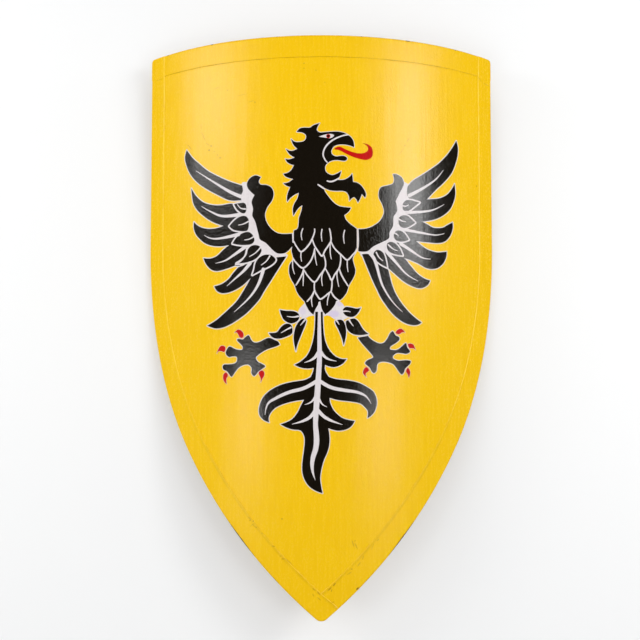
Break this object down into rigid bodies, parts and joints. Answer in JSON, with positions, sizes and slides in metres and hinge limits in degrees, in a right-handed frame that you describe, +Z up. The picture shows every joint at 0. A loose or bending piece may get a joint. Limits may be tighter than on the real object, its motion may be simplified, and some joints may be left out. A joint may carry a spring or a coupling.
{
  "type": "heater shield",
  "caption": "Curved wooden heater shield painted with a displayed eagle, with cloth-bound edges and leather straps behind.",
  "frame": {"origin": "middle of the whole object's box, on the surface it lies on", "axes": "+Z up out of the painted face as the shield lies face up, +Y towards the straight top edge, +X to the right as the face is seen with the top edge upwards"},
  "size_m": [0.5018, 0.7926, 0.1306],
  "materials": {
    "yellow_paint": "satin",
    "painted_cloth": "satin",
    "strap_leather": "satin",
    "screw_steel": "satin",
    "eagle_black": "satin",
    "eagle_white": "satin",
    "eagle_red": "satin"
  },
  "bodies": {
    "root": {"board": "yellow_paint", "edge_strip_top": "painted_cloth", "edge_strip_left": "painted_cloth", "edge_strip_right": "painted_cloth", "forearm_strap": "strap_leather", "hand_strap": "strap_leather", "screw_1": "screw_steel", "screw_2": "screw_steel", "screw_3": "screw_steel", "screw_4": "screw_steel", "screw_5": "screw_steel", "screw_6": "screw_steel", "screw_7": "screw_steel", "screw_8": "screw_steel"}
  },
  "joints": []
}
